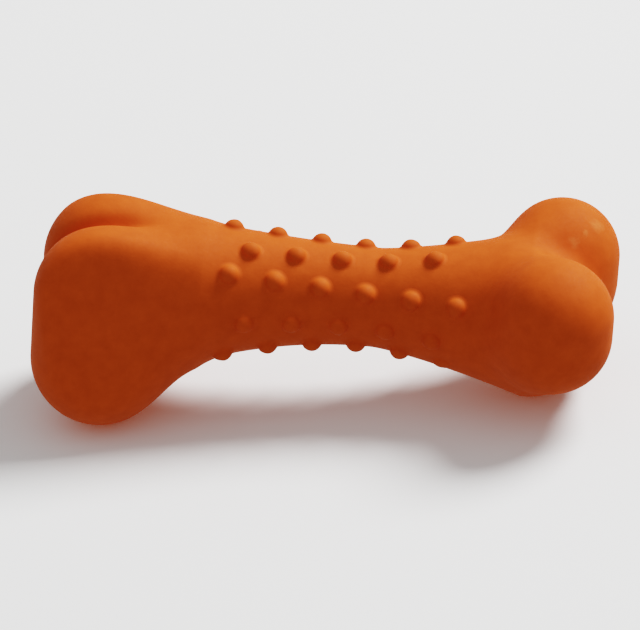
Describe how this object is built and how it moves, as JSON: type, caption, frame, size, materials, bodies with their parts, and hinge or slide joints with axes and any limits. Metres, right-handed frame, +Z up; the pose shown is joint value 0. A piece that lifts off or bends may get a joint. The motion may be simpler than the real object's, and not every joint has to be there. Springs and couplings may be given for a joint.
{
  "type": "rubber chew toy bone",
  "caption": "Hollow moulded rubber dog bone: a waisted shaft with staggered rows of round nubs, two rounded knobs at each end, and a squeaker set into one end face.",
  "frame": {"origin": "Middle of the bone's footprint, on the floor that it rests on", "axes": "+Z up, +X along the bone from the tall, dropped knobs to the small, raised knobs, +Y to the back half; the parting plane is y = 0"},
  "size_m": [0.1582, 0.067, 0.0557],
  "materials": {
    "rubber": "matte moulded natural rubber",
    "squeaker": "matte",
    "whistle": "matte",
    "reed": "thin rolled strip"
  },
  "bodies": {
    "bone": {"front_shell": "rubber", "back_shell": "rubber", "squeaker_housing": "squeaker", "squeaker_cap": "squeaker", "reed_block": "whistle", "reed_clamp": "whistle"},
    "reed": {"reed": "reed"}
  },
  "joints": [
    {"name": "reed_flutter", "type": "hinge", "parent": "bone", "child": "reed", "pos_m": [-0.0606, 0, 0.02804], "axis": [0, 1, 0], "range_deg": [-1, 4], "stiffness_Nm_per_rad": 0.0002}
  ]
}
